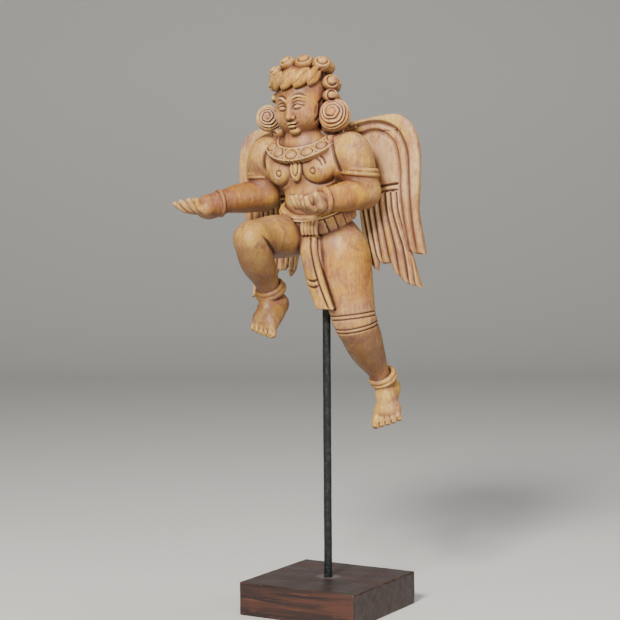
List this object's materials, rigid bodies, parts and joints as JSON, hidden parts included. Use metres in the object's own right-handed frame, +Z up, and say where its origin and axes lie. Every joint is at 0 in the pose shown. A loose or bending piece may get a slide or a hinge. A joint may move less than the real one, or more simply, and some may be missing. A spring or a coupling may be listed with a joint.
{
  "type": "gandharva statue",
  "caption": "Carved wooden winged celestial musician, flying with one knee raised and palms up, on an iron rod set in a square wooden block.",
  "frame": {"origin": "centre of the block's underside, on the rod's axis", "axes": "+Z up along the rod, -Y the way the figure's chest faces, +X the figure's left"},
  "size_m": [0.2295, 0.1649, 0.5444],
  "materials": {
    "carved_wood": "hand-carved, washed in ochre and rose, rubbed back to a satin",
    "blackened_iron": "blackened, satin",
    "stained_wood": "dark stain, worn at the edges"
  },
  "bodies": {
    "root": {"figure": "carved_wood", "left_wing": "carved_wood", "right_wing": "carved_wood", "rod": "blackened_iron", "block": "stained_wood"}
  },
  "joints": []
}
